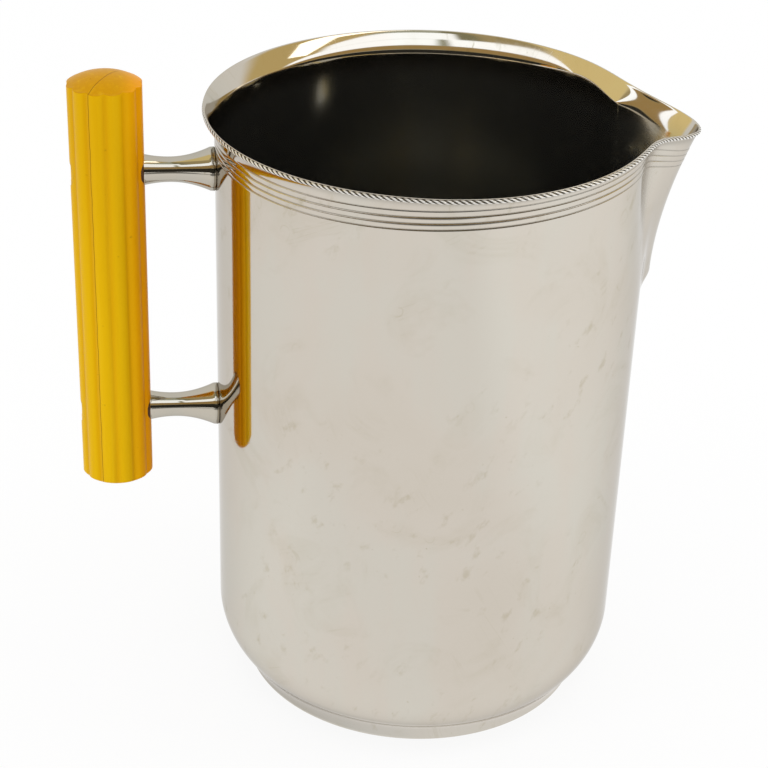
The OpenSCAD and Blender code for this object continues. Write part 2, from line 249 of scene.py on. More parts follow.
class NodeKit:
    """Makes the nodes of one tree."""

    def __init__(self, tree: bpy.types.NodeTree) -> None:
        """Empties the tree."""
        self.tree = tree
        tree.nodes.clear()

    def node(self, kind: str, settings: Optional[Mapping[str, Any]] = None,
             sockets: Optional[Mapping[Union[str, int], Any]] = None) -> bpy.types.Node:
        """Adds one node.

        Args:
            kind: The node's type.
            settings: Attributes, which are set first.
            sockets: Values or links of its inputs, by name or number.

        Returns:
            The node.
        """
        made = self.tree.nodes.new(kind)
        for key, value in (settings or {}).items():
            setattr(made, key, value)
        for key, value in (sockets or {}).items():
            socket = made.inputs[key]
            if isinstance(value, Signal):
                self.tree.links.new(value.socket, socket)
            elif isinstance(value, Socket):
                self.tree.links.new(value, socket)
            else:
                socket.default_value = value
        return made

    def signal(self, node: bpy.types.Node, output: Union[str, int] = 0) -> Signal:
        """One output of a node as a number."""
        return Signal(self, node.outputs[output])

    def mark(self, name: str) -> Signal:
        """An attribute of the piece."""
        return self.signal(self.node("ShaderNodeAttribute", {"attribute_name": name}), "Fac")

    def place(self) -> Socket:
        """Object coordinates, in metres."""
        return self.node("ShaderNodeTexCoord").outputs["Object"]

    def wrapped(self, girth_r: float) -> Socket:
        """Object coordinates unrolled: along the girth, and height less distance from the axis.

        Args:
            girth_r: Radius that turns the angle into a length, in metres.

        Returns:
            The vector socket.
        """
        x, y, z = self.axes()
        along = y.math("ARCTAN2", y, x) * girth_r
        height = z - (x * x + y * y) ** 0.5
        return self.node("ShaderNodeCombineXYZ", None, {0: along, 1: height}).outputs[0]

    def mapped(self, vector: Socket, turn: Colour = (0.0, 0.0, 0.0),
               scale: Colour = (1.0, 1.0, 1.0), shift: Colour = (0.0, 0.0, 0.0)) -> Socket:
        """Coordinates turned by angles in degrees, then stretched, then moved."""
        turned = self.node("ShaderNodeMapping", None, {
            "Vector": vector, "Rotation": tuple(np.radians(turn))})
        return self.node("ShaderNodeMapping", None, {
            "Vector": turned.outputs[0], "Location": shift, "Scale": scale}).outputs[0]

    def axes(self, vector: Optional[Socket] = None) -> list[Signal]:
        """The three parts of a vector, by default the object coordinates."""
        split = self.node("ShaderNodeSeparateXYZ", None, {0: vector or self.place()})
        return [self.signal(split, i) for i in range(3)]

    def noise(self, vector: Socket, scale: float, detail: float = 3.0,
              rough: float = 0.5, warp: float = 0.0) -> Signal:
        """Noise around 0.5, with scale features a metre and detail octaves of finer ones."""
        return self.signal(self.node("ShaderNodeTexNoise", None, {
            "Vector": vector, "Scale": scale, "Detail": detail, "Roughness": rough,
            "Distortion": warp}))

    def hairs(self, vector: Socket, turn: Colour, scale: Colour, reach: float) -> Signal:
        """Fine scratches: 1 where stretched noise is within reach of its middle value."""
        noise = self.noise(self.mapped(vector, turn, scale), 1.0, 1.0)
        return abs(noise - 0.5).step(reach, reach * 0.3)

    def blend(self, share: Value, first: Any, second: Any, way: str = "MIX") -> Socket:
        """Mixes a share of the second colour or socket into the first."""
        wide = [(*c, 1.0) if isinstance(c, tuple) else c for c in (first, second)]
        return self.node("ShaderNodeMix", {"data_type": "RGBA", "blend_type": way},
                         {0: share, 6: wide[0], 7: wide[1]}).outputs[2]

    def bump(self, height: Signal, depth: float) -> Socket:
        """Normal of a surface raised by height times depth in metres."""
        return self.node("ShaderNodeBump", None, {
            "Height": height, "Strength": 1.0, "Distance": depth}).outputs[0]


class Finish:
    """A finish makes one material."""

    def shade(self, kit: NodeKit) -> dict[str, Any]:
        """Gives the shader's sockets."""
        raise NotImplementedError

    def material(self, name: str) -> Material:
        """Makes the material.

        Args:
            name: The material's name.

        Returns:
            The material.
        """
        made = bpy.data.materials.new(name)
        made.use_nodes = True
        kit = NodeKit(made.node_tree)
        shader = kit.node("ShaderNodeBsdfPrincipled", None, self.shade(kit))
        kit.node("ShaderNodeOutputMaterial", None, {"Surface": shader.outputs[0]})
        return made


@dataclass(frozen=True)
class PolishedPlate(Finish):
    """Polished plate with clouds, stains, dried drops, specks, fine scratches, tarnish, painted
    shade and a painted highlight.
    """

    colour: Colour = (0.668, 0.618, 0.545)
    cool: Colour = (0.660, 0.627, 0.556)
    stain: Colour = (0.470, 0.420, 0.300)
    # The dark colour is tarnish and also painted shade, by the marks; the bright colour is a
    # painted highlight.
    dark: Colour = (0.175, 0.166, 0.146)
    bright: Colour = (0.930, 0.900, 0.830)
    inner_tone: Colour = (0.520, 0.520, 0.490)
    edge_tint: Colour = (0.74, 0.73, 0.715)
    rough: float = 0.05
    wave: float = 0.00006
    soil: float = 1.0
    girth_r: Optional[float] = 0.0635

    def shade(self, kit: NodeKit) -> dict[str, Any]:
        """Clouds, stains, tarnish and painted shade on the colour, a painted highlight, scratches
        on roughness, a slow wave on the normal.
        """
        place = kit.place()
        sheet = kit.wrapped(self.girth_r) if self.girth_r else place
        cloud = kit.noise(place, 17.0, 3.0, 0.5, 0.8)
        haze = kit.noise(kit.mapped(place, shift=(3.1, 0.4, 1.7)), 34.0, 4.0, 0.6, 1.2)
        area = kit.noise(kit.mapped(place, shift=(0.7, 2.3, 5.1)), 26.0, 2.0)
        upright = kit.noise(kit.mapped(sheet, scale=(75.0, 9.0, 40.0)), 1.0, 3.0, 0.55)
        blot = kit.noise(kit.mapped(sheet, (0.0, 0.0, 35.0), (180.0, 110.0, 120.0)), 1.0, 4.0, 0.62)
        blot = blot.step(0.56, 0.72) * area.step(0.45, 0.60)
        ring = abs(kit.noise(sheet, 120.0, 1.0, 0.4) - 0.66).step(0.016, 0.004)
        drop = ring * haze.step(0.56, 0.66)
        speck = kit.noise(sheet, 620.0, 2.0, 0.5).step(0.715, 0.78) * area.step(0.42, 0.60)
        rub = (kit.hairs(sheet, (0.0, 0.0, 62.0), (230.0, 9.0, 90.0), 0.012) * haze.step(0.58, 0.66)
               + kit.hairs(sheet, (0.0, 0.0, -28.0), (260.0, 11.0, 90.0), 0.010)
               * cloud.step(0.60, 0.68))
        fold, blur, inner = kit.mark("fold"), kit.mark("blur"), kit.mark("inner")
        darkening = (cloud.step(0.45, 0.75) * 0.10 + haze.step(0.50, 0.72) * 0.16 + blot * 0.42
                + drop * 0.20 + speck * 0.42 + rub * 0.12) * self.soil
        tone = kit.blend((cloud * 0.6 + upright * 0.4).step(0.56, 0.42), self.colour, self.cool)
        tone = kit.blend(darkening.least(1.0), tone, self.stain)
        tone = kit.blend(inner * 0.85, tone, self.inner_tone)
        # Marked tarnish, and painted shade in marked places, blend towards the dark colour.
        tone = kit.blend(fold.least(1.0), tone, self.dark)
        # Painted highlight: marked places by the foot blend towards the bright colour.
        tone = kit.blend(kit.mark("seam"), tone, self.bright)
        rough = (self.rough + haze * 0.03 + blot * 0.05 + speck * 0.10 + rub * 0.05
                 + fold * 0.18 + blur * 0.28 + inner * 0.06)
        height = kit.noise(place, 26.0, 1.0) * self.wave + rub * -0.000001
        return {"Base Color": tone, "Metallic": 1.0 - inner * 0.012, "Roughness": rough,
                "Normal": kit.bump(height, 1.0), "Specular Tint": (*self.edge_tint, 1.0)}


@dataclass(frozen=True)
class TwistedWire(Finish):
    """Plated wire, worn bright on the crowns of its strands and dark between them."""

    colour: Colour = (0.900, 0.880, 0.835)
    tarnish: Colour = (0.110, 0.095, 0.070)
    rough: float = 0.22

    def shade(self, kit: NodeKit) -> dict[str, Any]:
        """Tarnish follows the depth between the strands, broken by noise."""
        place = kit.place()
        patchy = kit.noise(place, 260.0, 3.0)
        deep = (kit.mark("deep") + (patchy - 0.5) * 0.35).step(0.16, 0.52)
        return {"Base Color": kit.blend(deep, self.colour, self.tarnish),
                "Metallic": deep * 0.4 + 0.6,
                "Roughness": self.rough + deep * 0.20 + patchy * 0.06,
                "Normal": kit.bump(kit.noise(place, 2600.0, 2.0), 0.00001)}


@dataclass(frozen=True)
class CastResin(Finish):
    """Amber resin with lengthwise streaks, with painted shade in the valleys, on the domed ends,
    towards the top and on the side towards the body, and with one hairline.
    """

    axis_x: float
    crown: Colour = (0.785, 0.462, 0.002)
    # The valley colour is painted shade in the reeds' valleys, and also a darker tone in the
    # streaks.
    valley: Colour = (0.708, 0.378, 0.001)
    # The cap colour is painted shade on the domed ends.
    cap: Colour = (0.535, 0.238, 0.001)
    pale: Colour = (0.830, 0.525, 0.008)
    # Painted shade on the grip's side towards the body.
    side_shade: Colour = (0.920, 0.350, 0.001)
    sheen: Colour = (1.0, 0.82, 0.35)
    dark: Colour = (0.250, 0.095, 0.002)
    rough: float = 0.36
    line_at: tuple[float, float] = (-0.0046, -0.0098)
    line_turn: float = 55.0

    def shade(self, kit: NodeKit) -> dict[str, Any]:
        """Streaks run along Z, and the hairline lies in an upright plane beside the grip's axis."""
        place = kit.place()
        x, y, z = kit.axes()
        streak = kit.noise(kit.mapped(place, scale=(520.0, 520.0, 9.0)), 1.0, 4.0, 0.6)
        cloud = kit.noise(place, 55.0, 3.0)
        pits = kit.noise(place, 420.0, 2.0).step(0.72, 0.80)
        # Painted shade: the reeds' valleys and the plug holes darker than the crowns.
        tone = kit.blend(kit.mark("valley").step(0.10, 1.0), self.crown, self.valley)
        # Painted shade on the domed ends.
        tone = kit.blend(kit.mark("cap") * 0.85, tone, self.cap)
        tone = kit.blend(streak.step(0.50, 0.75) * 0.40, tone, self.pale)
        tone = kit.blend(streak.step(0.50, 0.30) * 0.35, tone, self.valley)
        x = x - self.axis_x
        # Painted shade: the side towards the body deeper orange.
        tone = kit.blend(x.step(0.003, 0.0105) * 0.9, tone, self.side_shade)
        # Painted shade: darker towards the top.
        tone = kit.blend(z.step(0.110, 0.190) * 0.24, tone, self.cap)
        turn = np.radians(self.line_turn)
        beside, behind = x - self.line_at[0], y - self.line_at[1]
        across = beside * float(-np.sin(turn)) + behind * float(np.cos(turn))
        shake = (kit.noise(place, 240.0, 2.0) - 0.5) * 0.0005
        line = abs(across + shake).step(0.00016, 0.00004) * y.step(0.004, 0.001)
        tone = kit.blend((line * 0.75 + pits * 0.35).least(1.0), tone, self.dark)
        rough = self.rough + (streak - 0.5) * 0.10 + (cloud - 0.5) * 0.10 + pits * 0.2
        grain = kit.noise(place, 1400.0, 2.0)
        height = streak * 0.00003 + grain * 0.000006 - line * 0.00010 - pits * 0.00004
        return {"Base Color": tone, "Roughness": rough, "Normal": kit.bump(height, 1.0),
                "IOR": 1.18, "Specular Tint": (*self.sheen, 1.0)}


@dataclass(frozen=True)
class PressedFibre(Finish):
    """Brown pressed fibre with short hairs."""

    colour: Colour = (0.060, 0.026, 0.010)
    hair: Colour = (0.130, 0.062, 0.028)

    def shade(self, kit: NodeKit) -> dict[str, Any]:
        """Fibres are stretched noise across the washer."""
        along = kit.mapped(kit.place(), (0.0, 30.0, 20.0), (900.0, 2600.0, 2600.0))
        hair = kit.noise(along, 1.0, 3.0)
        return {"Base Color": kit.blend(hair.step(0.45, 0.70), self.colour, self.hair),
                "Roughness": 0.75 + hair * 0.2, "Normal": kit.bump(hair, 0.00005)}


@dataclass(frozen=True)
class TurnedMetal(Finish):
    """Machined metal with rings round the axis of a strut."""

    colour: Colour
    worn: Colour
    rough: float
    height: float

    def shade(self, kit: NodeKit) -> dict[str, Any]:
        """Rings follow the distance from the upright line and the strut's own axis."""
        x, y, z = kit.axes()
        radius = (y * y + (z - self.height * MM) * (z - self.height * MM)) ** 0.5
        joined = kit.node("ShaderNodeCombineXYZ", None, {0: radius, 1: x}).outputs[0]
        ring = kit.noise(joined, 3200.0, 2.0)
        patch = kit.noise(kit.place(), 340.0, 3.0)
        return {"Base Color": kit.blend(patch.step(0.45, 0.75), self.colour, self.worn),
                "Metallic": 1.0, "Roughness": self.rough + ring * 0.15,
                "Normal": kit.bump(ring, 0.00003)}


@dataclass(frozen=True)
class Wear:
    """Tarnish, painted shade, dullness and a painted highlight on the body: shares from 0 to 1, and
    places in millimetres.
    """

    crease_dirt: float = 0.06
    crease_dull_angle: float = 7.0
    line_dirt: float = 0.55
    line_dull: float = 0.6
    # Painted shade in a band under the rope.
    rope_shade: float = 0.34
    rope_shade_drop: float = 0.4
    rope_shade_h: float = 0.9
    corner_rise: float = 3.6
    corner_h: float = 1.2
    # Painted shade in the band above the foot, growing towards the handle.
    corner_shade: float = 0.04
    corner_shade_back: float = 0.20
    corner_dull: float = 0.4
    # Painted highlight on the corner by the foot, fading upwards.
    foot_painted_shine: float = 0.95
    foot_painted_shine_h: float = 3.0
    foot_painted_shine_fade: float = 1.6


@dataclass
class PitcherBody:
    """Drawn wall with bottom, corner, flared lip, cut lines and the spout raised from the sheet."""

    top_d: float = 127.0
    low_d: float = 125.6
    height: float = 186.8
    wall_t: float = 1.2
    corner_r: float = 22.0
    corner_turn: float = 41.0
    bend_r: float = 4.0
    foot_h: float = 6.5
    lip_flare: float = 3.4
    lip_h: float = 7.1
    flare_start: float = 15.0
    flare_full: float = 86.0
    line_count: int = 4
    line_first: float = 4.6
    line_pitch: float = 1.83
    line_w: float = 0.34
    line_depth: float = 0.17
    line_slant: float = 2.0
    band_crown: float = 0.07
    spout_reach: float = 14.6
    spout_low_reach: float = 4.3
    spout_h: float = 52.0
    spout_end_h: float = 8.0
    spout_angle: float = 14.2
    spout_low_angle: float = 6.5
    spout_dip: float = 6.4
    dip_angle: float = 17.5
    nose_power: float = 1.9
    line_dip: float = 4.1
    side_hollow: float = 1.9
    side_angle: float = 20.0
    side_fade: float = 11.3
    side_rise: float = 4.0
    side_full: float = 6.8
    side_end: float = 6.3
    rope_h: float = 1.5
    rope_drop: float = 0.15
    lip_t: float = 0.45
    lip_low: float = 0.10
    fine_angle: float = 48.0
    fine_step: float = 0.8
    coarse_columns: int = 176
    fine_below: float = 3.0
    fine_above: float = 4.0
    rows_a_line: int = 12
    wear: Wear = field(default_factory=Wear)
    finish: PolishedPlate = field(default_factory=PolishedPlate)

    def __post_init__(self) -> None:
        """Works out the centres of the corner's arcs and the heights of spout, lines and lip."""
        turn = np.radians(self.corner_turn)
        self.corner_x = self.low_d / 2 - self.corner_r
        self.corner_z = self.foot_h + self.bend_r + (self.corner_r - self.bend_r) * np.sin(turn)
        self.bend_x = self.corner_x + (self.corner_r - self.bend_r) * np.cos(turn)
        self.bend_z = self.foot_h + self.bend_r
        self.spout_low_z = self.height - self.spout_h
        self.spout_end_z = self.spout_low_z - self.spout_end_h
        self.fine_low_z = self.spout_end_z - self.fine_below
        self.fine_high_z = self.spout_low_z + self.fine_above
        self.line_top_z = self.height - self.line_first + self.line_pitch / 2
        self.line_end_z = self.line_top_z - self.line_count * self.line_pitch
        self.rope_low_z = self.height - self.rope_drop - self.rope_h
        self.lip_end_z = self.height - self.lip_h
        self.edge_z = self.height - self.lip_low - self.lip_t / 2

    def columns(self) -> Array:
        """Angles of the columns in degrees, close together on the spout."""
        near = np.arange(-self.fine_angle, self.fine_angle, self.fine_step)
        far = np.linspace(self.fine_angle, 360.0 - self.fine_angle, self.coarse_columns,
                          endpoint=False)
        return np.concatenate([near, far])

    def rows_up(self) -> Array:
        """Heights of the rows up the outside, close at the spout's lower end and the lines."""
        return np.concatenate([
            np.linspace(self.corner_z, self.fine_low_z, 16)[1:],
            np.linspace(self.fine_low_z, self.fine_high_z, 22)[1:],
            np.linspace(self.fine_high_z, self.line_end_z, 26)[1:-1],
            np.linspace(self.line_end_z, self.line_top_z, self.line_count * self.rows_a_line,
                        endpoint=False),
            np.linspace(self.line_top_z, self.edge_z, 8)])

    def rows_down(self) -> Array:
        """Heights of the rows down the inside, close at the lip and the spout's lower end."""
        return np.concatenate([
            np.linspace(self.edge_z, self.lip_end_z, 16)[1:],
            np.linspace(self.lip_end_z, self.fine_high_z, 18)[1:],
            np.linspace(self.fine_high_z, self.fine_low_z, 22)[1:],
            np.linspace(self.fine_low_z, self.corner_z, 14)[1:]])

    def from_nose(self, angle: Array) -> Array:
        """Angle between a direction and the nose, from 0 to 180."""
        return np.abs((angle + 180.0) % 360.0 - 180.0)

    def wall_r(self, z: Array) -> Array:
        """Outside radius of the plain wall, which tapers evenly from corner to lip."""
        share = (z - self.corner_z) / (self.height - self.corner_z)
        return self.low_d / 2 + (self.top_d - self.low_d) / 2 * share

    def spout_share(self, z: Array) -> Array:
        """Share of the spout's height, 0 at its lower end and 1 at the lip."""
        return np.maximum(0.0, (z - self.spout_low_z) / self.spout_h)

    def nose_out(self, z: Array) -> Array:
        """How far the nose stands out: a power curve of the height, eased to 0 at the lower end."""
        rise = self.spout_share(z) ** self.nose_power
        closed = ease((z - self.spout_end_z) / self.spout_end_h)
        return (self.spout_low_reach + (self.spout_reach - self.spout_low_reach) * rise) * closed

    def bulge(self, away: Array, z: Array) -> Array:
        """Share of the nose at an angle: a bell curve that narrows downwards."""
        widens = (self.spout_angle - self.spout_low_angle) * self.spout_share(z)
        return bell(away, self.spout_low_angle + widens)

    def hollow(self, away: Array, z: Array) -> Array:
        """Depth of the hollow that the wall has beside the spout.

        It is a bell curve of the angle, wide towards the wall and narrow towards the nose, that
        eases in from the spout's lower end and out again at the lip.

        Args:
            away: Angles from the nose in degrees.
            z: Heights.

        Returns:
            Depths in millimetres.
        """
        width = np.where(away > self.side_angle, self.side_fade, self.side_rise)
        rise = ease((z - self.spout_low_z) / (self.spout_h - self.side_full))
        end = ease((self.height - z) / self.side_end)
        return self.side_hollow * bell(away - self.side_angle, width) * rise * end

    def sag(self, away: Array, z: Array) -> Array:
        """How much lower than its nominal height a row lies, for the cut lines' slant and dip.

        Args:
            away: Angles from the nose in degrees.
            z: Nominal heights.

        Returns:
            Drops: a bell curve at the nose less a cosine for the slant, full at the lines and 0 at
            the rope and below the spout.
        """
        line_top = self.height - self.line_first + self.line_w / 2
        rise = ease((z - self.spout_low_z) / (self.spout_h - self.lip_h))
        end = ease((self.rope_low_z - z) / (self.rope_low_z - line_top))
        slant = self.line_slant * np.cos(np.radians(away))
        return (self.line_dip * bell(away, self.dip_angle) - slant) * rise * end

    def skin(self, angle: Array, z: Array, inset: Array, lined: bool = True) -> Array:
        """Points of the sheet a distance inside its outer face.

        The radius is the wall, plus the flare, a square curve of the height over the lip's height,
        less the hollow, plus the nose times its bulge. The height dips towards the nose by a bell
        curve.

        Args:
            angle: Directions in degrees.
            z: Nominal heights.
            inset: Radial distances inside the outer face.
            lined: Whether the rows follow the cut lines.

        Returns:
            Points, xyz on the last axis.
        """
        away = self.from_nose(angle)
        if lined:
            z = z - self.sag(away, z)
        open_lip = ease((away - self.flare_start) / (self.flare_full - self.flare_start))
        lip_share = np.maximum(0.0, (z - self.lip_end_z) / self.lip_h)
        flare = self.lip_flare * open_lip * lip_share ** 2
        nose = self.nose_out(z) * self.bulge(away, z)
        r = self.wall_r(z) + flare - self.hollow(away, z) + nose - inset
        dip = self.spout_dip * bell(away, self.dip_angle) * self.spout_share(z)
        return revolve(r, np.radians(angle), z - dip)

    def cut(self, z: Array) -> Array:
        """Depth of the cut lines: a bell curve at each, with slightly crowned bands between."""
        lines = self.height - self.line_first - self.line_pitch * np.arange(self.line_count)
        gap = np.min(np.abs(z[..., None] - lines), axis=-1)
        depth = self.line_depth * bell(gap, self.line_w / 2)
        inside = (z < lines[0]) & (z > lines[-1])
        crown = self.band_crown * np.cos(np.pi * gap / self.line_pitch - np.pi / 2) * inside
        return depth - crown

    def corner(self, inside: float) -> Array:
        """Radius and height along the bend and the corner, a distance inside the outer face."""
        cos_b, sin_b = arc(90.0, self.corner_turn, 12)
        cos_c, sin_c = arc(self.corner_turn, 0.0, 20)
        bend = np.stack([self.bend_x + (self.bend_r - inside) * cos_b,
                         self.bend_z - (self.bend_r - inside) * sin_b], axis=-1)
        large = np.stack([self.corner_x + (self.corner_r - inside) * cos_c,
                          self.corner_z - (self.corner_r - inside) * sin_c], axis=-1)
        return np.concatenate([bend, large[1:]])

    def marks(self, points: Array, up: Array, first: int) -> dict[str, Array]:
        """Where the sheet has tarnish and painted shade, where it is dull, and where it has a
        painted highlight.

        Tarnish lies in the creases beside the spout and in the lines. Painted shade lies under the
        rope and in a band above the foot that grows towards the handle. The bands and the edges of
        the creases are bell curves, and the painted highlight by the foot fades evenly upwards.

        Args:
            points: The sheet's points.
            up: Heights of the rows up the outside.
            first: Number of rows before those.

        Returns:
            Values from 0 to 1 by mark.
        """
        wear = self.wear
        angle = self.columns()[None, :]
        away = self.from_nose(angle)
        crease = self.hollow(away, up[:, None]) / self.side_hollow
        grooved = np.clip(self.cut(up) / self.line_depth, 0.0, 1.0)[:, None]
        # Painted shade in a band under the rope.
        under_rope = bell(up - self.rope_low_z + wear.rope_shade_drop, wear.rope_shade_h)[:, None]
        above = points[:first, :, 2] - self.foot_h
        # Painted shade: a band above the foot that grows towards the handle.
        band = bell(above - wear.corner_rise, wear.corner_h)
        back = wear.corner_shade - wear.corner_shade_back * np.cos(np.radians(angle))
        fold, blur, seam = np.zeros((3, *points.shape[:2]))
        outside = slice(first, first + len(up))
        # Tarnish in the lines, and painted shade under the rope.
        level = np.maximum(wear.line_dirt * grooved, wear.rope_shade * under_rope)
        fold[outside] = np.maximum(wear.crease_dirt * crease, level)
        fold[:first] = band * np.maximum(0.0, back)
        blur[outside] = np.maximum(bell(away - self.side_angle, wear.crease_dull_angle) * crease,
                                   wear.line_dull * grooved)
        blur[:first] = wear.corner_dull * band
        # Painted highlight on the corner's lowest rows, by the foot.
        seam[:first] = wear.foot_painted_shine * np.clip((wear.foot_painted_shine_h - above) / wear.foot_painted_shine_fade, 0.0, 1.0)
        return {"fold": fold, "blur": blur, "seam": seam}

    def build(self) -> Piece:
        """Makes the sheet: out under the bottom, up the wall, over the lip and down the inside.

        Returns:
            The body's object.
        """
        angle = self.columns()[None, :]
        turn = np.radians(angle)
        up, down = self.rows_up(), self.rows_down()
        floor_z = self.foot_h + self.wall_t
        base_r = np.linspace(0.0, self.bend_x, 5)[1:-1]
        under = np.stack([base_r, np.full_like(base_r, self.foot_h)], axis=-1)
        floor = np.stack([base_r[::-1], np.full_like(base_r, floor_z)], axis=-1)
        low = np.concatenate([under, self.corner(0.0)])
        low_inside = np.concatenate([self.corner(self.wall_t)[::-1][1:], floor])
        edge_c, edge_s = (part[1:-1, None] for part in arc(0.0, 180.0, 11))
        thin = ease((down - self.lip_end_z) / (self.edge_z - self.lip_end_z))
        thick = self.wall_t - (self.wall_t - self.lip_t) * thin
        half_t = self.lip_t / 2
        parts = [
            revolve(low[:, :1], turn, low[:, 1:]),
            self.skin(angle, up[:, None], self.cut(up)[:, None]),
            self.skin(angle, self.edge_z + half_t * edge_s, half_t * (1.0 - edge_c)),
            self.skin(angle, down[:, None], thick[:, None], lined=False),
            revolve(low_inside[:, :1], turn, low_inside[:, 1:])]
        points = np.concatenate(parts)
        inner = np.concatenate([np.full(p.shape[:2], float(k > 2)) for k, p in enumerate(parts)])
        inner *= ease((self.lip_end_z - points[..., 2]) / self.lip_h)
        draft = Draft("pitcher_body")
        index = draft.lay(points, inner=inner, **self.marks(points, up, len(low)))
        draft.weave(index)
        draft.close(index[0], np.array([0.0, 0.0, self.foot_h]), last=False)
        draft.close(index[-1], np.array([0.0, 0.0, floor_z]), last=True, inner=np.ones(1))
        return draft.make()

    def dress(self, piece: Piece) -> None:
        """Gives the body its polished plate."""
        settle(piece, self.finish.material("body_plate"), "body_shell")


@dataclass
class FootRing:
    """Ring under the bottom, with a hollow outer face and rounded standing edges."""

    body: PitcherBody
    thick: float = 3.0
    inset: float = 0.6
    edge: float = 0.5
    hollow: float = 1.7
    gap: float = 0.01
    # Painted shade on the outer face towards the handle.
    darkening: float = 0.5
    dull: float = 0.4
    dull_h: float = 0.9
    # Painted highlight at the tip.
    painted_shine: float = 0.35
    painted_shine_h: float = 2.0
    painted_shine_fade: float = 1.4
    finish: PolishedPlate = field(default_factory=lambda: PolishedPlate(
        colour=(0.650, 0.616, 0.556), cool=(0.642, 0.620, 0.564), edge_tint=(0.90, 0.88, 0.86),
        wave=0.00002, soil=1.1))

    def build(self) -> Piece:
        """Turns the section: standing edge, hollow outer face, top along the bend, inner face.

        The outer face has painted shade towards the handle by a cosine, is dull below the tip by a
        bell curve, and has a painted highlight at the tip.

        Returns:
            The ring's object.
        """
        b = self.body
        outer_r = b.bend_x - self.inset
        inner_r = outer_r - self.thick
        seat = b.bend_r + self.gap
        lap = b.corner_turn
        tip_r = b.bend_x + seat * np.cos(np.radians(lap))
        tip_z = b.bend_z - seat * np.sin(np.radians(lap))
        c1, s1 = arc(180.0, 270.0, 6)
        c2, s2 = arc(270.0, 360.0, 6)
        share = np.concatenate([np.linspace(0.0, 0.97, 16)[1:], [0.985, 0.993, 0.997, 1.0]])
        beyond = lap + np.array([0.15, 0.5, 1.2])
        top = np.radians(np.concatenate([beyond, np.linspace(lap + 3.0, 90.0, 10)]))
        section = np.concatenate([
            np.stack([inner_r + self.edge + self.edge * c1, self.edge + self.edge * s1], axis=-1),
            np.stack([outer_r - self.edge + self.edge * c2, self.edge + self.edge * s2], axis=-1),
            np.stack([outer_r + (tip_r - outer_r) * share ** self.hollow,
                      self.edge + (tip_z - self.edge) * share], axis=-1),
            np.stack([b.bend_x + seat * np.cos(top), b.bend_z - seat * np.sin(top)], axis=-1),
            np.array([[inner_r, b.foot_h - self.gap]])])
        turn = np.radians(np.arange(0.0, 360.0, 1.5))[None, :]
        r, z = section[:, :1], section[:, 1:]
        face = r > outer_r
        bright = np.clip((z - tip_z + self.painted_shine_h) / self.painted_shine_fade, 0.0, 1.0)
        # Painted shade towards the handle, and a painted highlight at the tip.
        marks = {"fold": self.darkening * np.maximum(0.0, -np.cos(turn)) * face,
                 "blur": self.dull * bell(z - tip_z, self.dull_h) * face,
                 "seam": self.painted_shine * bright * face}
        draft = Draft("foot_band")
        draft.weave(draft.lay(revolve(r, turn, z), **marks), rows_closed=True)
        return draft.make()

    def dress(self, piece: Piece) -> None:
        """Gives the ring the body's plate."""
        settle(piece, self.finish.material("foot_plate"), "foot_ring")


@dataclass
class RopeEdge:
    """Wire of three twisted strands, along the outside of the lip and the spout."""

    body: PitcherBody
    proud: float = 0.9
    nose_less: float = 0.22
    nose_angle: float = 25.0
    sunk: float = 0.3
    rise: float = 0.58
    lower: float = -0.08
    lay_length: float = 5.55
    strands: int = 3
    groove: float = 0.34
    sides: int = 24
    rings_a_lay: int = 24
    stations: int = 7200
    lean_step: float = 0.1
    finish: TwistedWire = field(default_factory=TwistedWire)

    def build(self) -> Piece:
        """Carries the wire's section along the lip's line.

        The section is an ellipse, drawn square to the line and to the sheet, and less proud at the
        nose by a bell curve of the angle. Its radius shrinks towards the grooves by the groove's
        share times 1 - |cos t|, where t is half the number of strands times the angle from a
        strand's crown, and the crowns turn once round in each lay length.

        Returns:
            The rope's object.
        """
        b = self.body
        angle = np.linspace(0.0, 360.0, self.stations, endpoint=False)
        proud = self.proud - self.nose_less * bell(b.from_nose(angle), self.nose_angle)
        depth = (proud + self.sunk) / 2
        level = b.height - b.rope_drop - b.rope_h / 2 - self.lower
        line, above = (b.skin(angle, np.full_like(angle, z), np.zeros_like(angle), lined=False)
                       for z in (level, level + self.lean_step))
        out = unit(np.cross(np.roll(line, -1, axis=0) - np.roll(line, 1, axis=0), above - line))
        line = line + (proud - depth)[:, None] * out
        step = np.linalg.norm(np.diff(line, axis=0, append=line[:1]), axis=1)
        run = np.concatenate([[0.0], np.cumsum(step)])
        lays = round(run[-1] / self.lay_length)
        at = np.linspace(0.0, run[-1], lays * self.rings_a_lay, endpoint=False)

        def spread(values: Array) -> Array:
            """Values along the closed line, read at the rings."""
            closed = np.concatenate([values, values[:1]])
            return np.stack([np.interp(at, run, column) for column in closed.T], axis=-1)

        path, depth, out = spread(line), spread(depth[:, None]), spread(out)
        along = unit(np.roll(path, -1, axis=0) - np.roll(path, 1, axis=0))
        down = unit(np.cross(along, out))
        out = np.cross(down, along)
        twist = 2.0 * np.pi * lays * at / run[-1]
        face = np.linspace(0.0, 2.0 * np.pi, self.sides, endpoint=False)
        deep = 1.0 - np.abs(np.cos(self.strands / 2 * (face - twist[:, None])))
        size = 1.0 - self.groove * deep
        points = (path[:, None] + (depth * size * np.cos(face))[..., None] * out[:, None]
                  + (self.rise * size * np.sin(face))[..., None] * down[:, None])
        draft = Draft("rope_strands")
        draft.weave(draft.lay(points, deep=deep), rows_closed=True)
        return draft.make()

    def dress(self, piece: Piece) -> None:
        """Gives the rope its worn wire."""
        settle(piece, self.finish.material("rope_wire"), "rim_rope")


